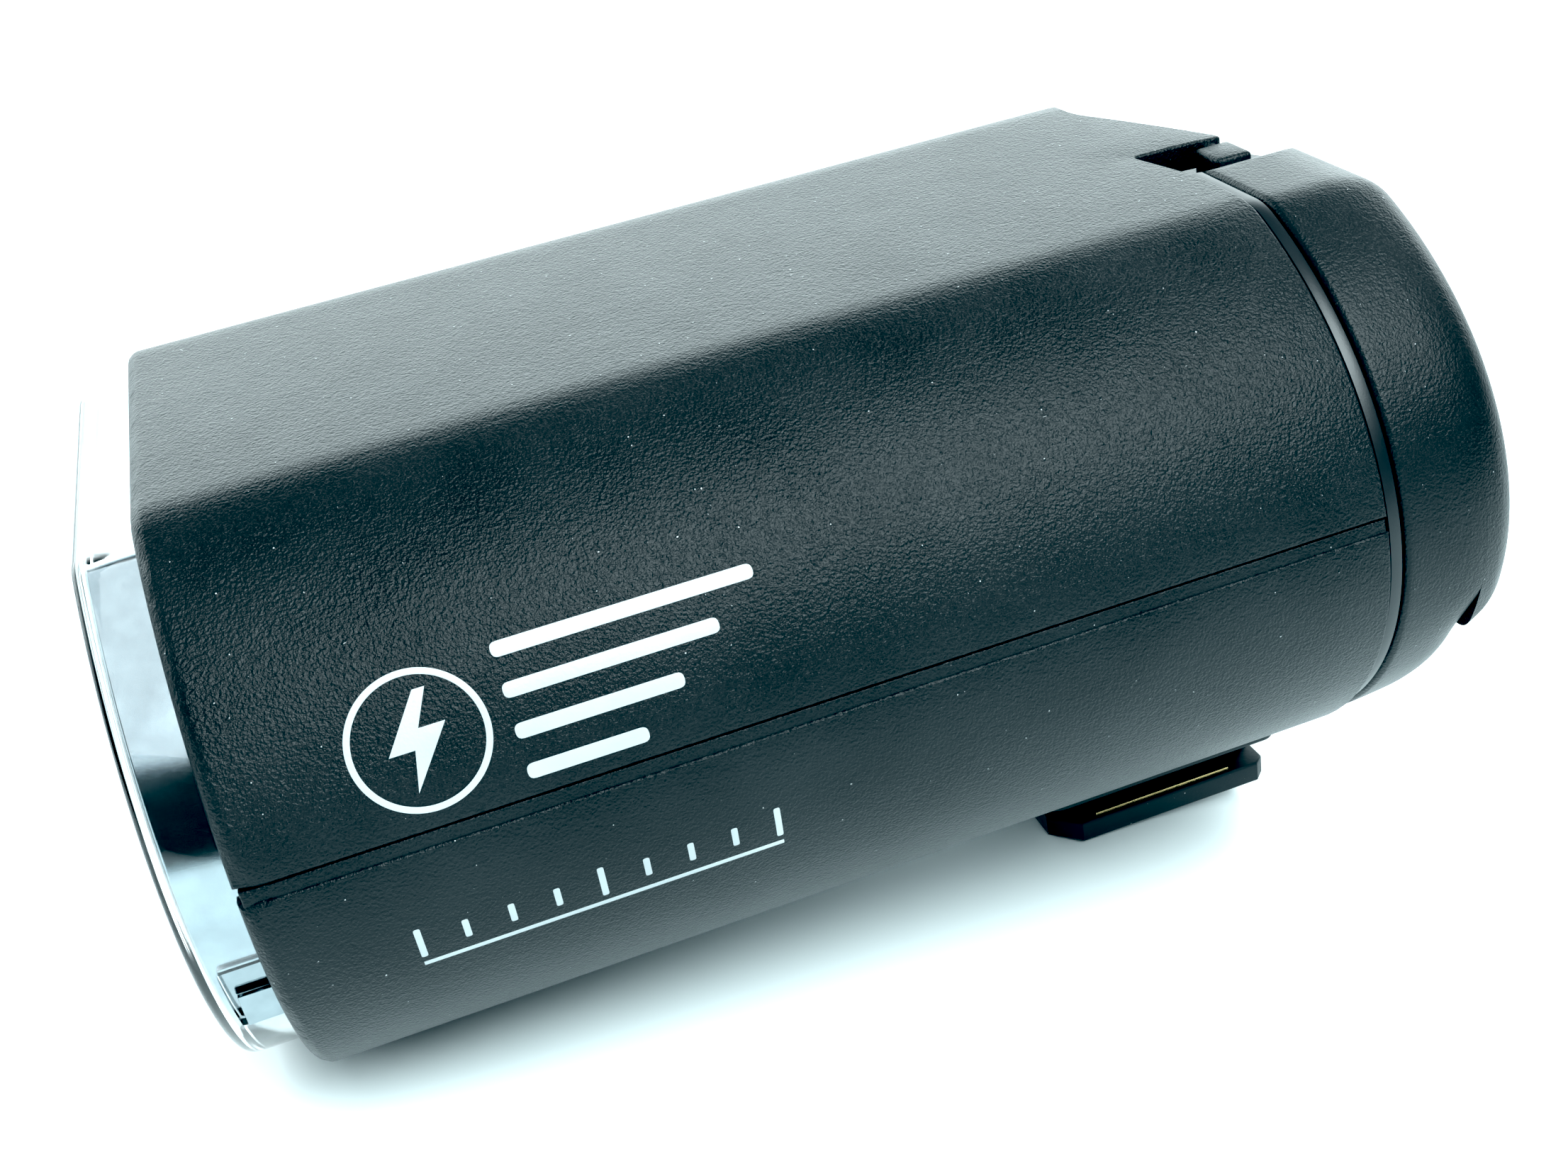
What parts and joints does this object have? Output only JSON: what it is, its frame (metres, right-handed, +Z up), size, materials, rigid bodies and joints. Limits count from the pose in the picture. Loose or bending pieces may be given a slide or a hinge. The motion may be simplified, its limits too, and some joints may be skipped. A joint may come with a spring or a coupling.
{
  "type": "speedlight flash",
  "caption": "Oval-barrel camera-shoe flash: clear front window, split case, hinged battery hatch with ribbed latch, side controls and a shoe foot.",
  "frame": {"origin": "middle of the shoe foot's flat underside", "axes": "-X is the way the flash fires, so the clear window faces -X and the battery hatch +X; +Y is the side with the controls; +Z is up, from the foot to the flat top of the case"},
  "size_m": [0.0959, 0.066, 0.0569],
  "materials": {
    "black_case": "fine spark-textured black moulding",
    "black_smooth": "smoother satin black moulding",
    "clear_window": "clear moulded acrylic, polished",
    "chrome_plate": "bright vacuum-metallised",
    "tube_glass": "clear glass",
    "steel": "nickel-plated steel",
    "contact_brass": "polished contact brass",
    "board_green": "solder-masked circuit board",
    "grey_plastic": "satin grey moulding",
    "white_plastic": "satin white moulding",
    "silicone": "matte silicone",
    "sleeve": "shrunk plastic sleeve",
    "cell_jacket": "printed metal-foil jacket without lettering",
    "copper": "enamelled copper winding",
    "lamp_red": "translucent red"
  },
  "bodies": {
    "case": {"upper_shell": "black_case", "lower_shell": "black_case", "collar_ring": "black_smooth", "case_screw_1": "steel", "case_screw_2": "steel", "case_screw_3": "steel", "case_screw_4": "steel", "front_window": "clear_window", "reflector_frame": "chrome_plate", "sensor_lens": "black_smooth", "reflector": "chrome_plate", "flash_tube": "tube_glass", "tube_electrode_near": "steel", "tube_boot_near": "silicone", "tube_electrode_far": "steel", "tube_boot_far": "silicone", "battery_cage": "grey_plastic", "cell_1": "cell_jacket", "cell_spring_1": "steel", "cell_2": "cell_jacket", "cell_3": "cell_jacket", "cell_spring_3": "steel", "cell_4": "cell_jacket", "cage_contact_1": "steel", "cage_contact_2": "steel", "main_capacitor": "sleeve", "capacitor_cradle": "grey_plastic", "circuit_board": "board_green", "switching_transistor": "black_smooth", "transformer_core": "steel", "transformer_winding": "copper", "trigger_coil": "copper", "trigger_lead": "silicone", "control_panel": "black_smooth", "ready_lamp": "lamp_red", "switch_board": "board_green", "sync_socket": "steel", "foot_pedestal": "black_case", "shoe_foot": "black_case", "foot_screw_1": "steel", "foot_screw_2": "steel", "contact_spring": "steel", "ground_strip_near": "contact_brass", "ground_strip_far": "contact_brass"},
    "hatch": {"rear_hatch": "black_smooth", "hinge_pin": "steel", "hatch_contact_1": "steel", "hatch_contact_2": "steel", "cell_spring_2": "steel", "cell_spring_4": "steel", "calculator_hub": "steel", "latch_spring": "steel"},
    "latch": {"hatch_latch": "black_case"},
    "calculator": {"calculator_disc": "grey_plastic"},
    "power_slider": {"power_switch": "grey_plastic"},
    "aperture_slider": {"aperture_selector": "grey_plastic"},
    "button": {"test_button": "white_plastic", "button_spring": "steel"},
    "centre_contact": {"contact_pin": "contact_brass"}
  },
  "joints": [
    {"name": "hatch_hinge", "type": "hinge", "parent": "case", "child": "hatch", "pos_m": [0.01205, 0, 0.05575], "axis": [0, -1, 0], "range_deg": [0, 95]},
    {"name": "latch_slide", "type": "slide", "parent": "hatch", "child": "latch", "axis": [0, 0, -1], "range_m": [0, 0.0015], "stiffness_N_per_m": 600, "springref_m": -0.0008, "deforming": ["latch_spring"]},
    {"name": "calculator_turn", "type": "hinge", "parent": "hatch", "child": "calculator", "pos_m": [0.01825, 0, 0.0393], "axis": [1, 0, 0], "continuous": true},
    {"name": "power_slide", "type": "slide", "parent": "case", "child": "power_slider", "axis": [1, 0, 0], "range_m": [0, 0.004]},
    {"name": "aperture_slide", "type": "slide", "parent": "case", "child": "aperture_slider", "axis": [1, 0, 0], "range_m": [0, 0.006]},
    {"name": "test_press", "type": "slide", "parent": "case", "child": "button", "axis": [0, -0.9536, 0.3012], "range_m": [0, 0.0008], "stiffness_N_per_m": 500, "springref_m": -0.0006},
    {"name": "contact_press", "type": "slide", "parent": "case", "child": "centre_contact", "axis": [0, 0, 1], "range_m": [0, 0.0005], "stiffness_N_per_m": 800, "springref_m": -0.0006, "deforming": ["contact_spring"]}
  ]
}
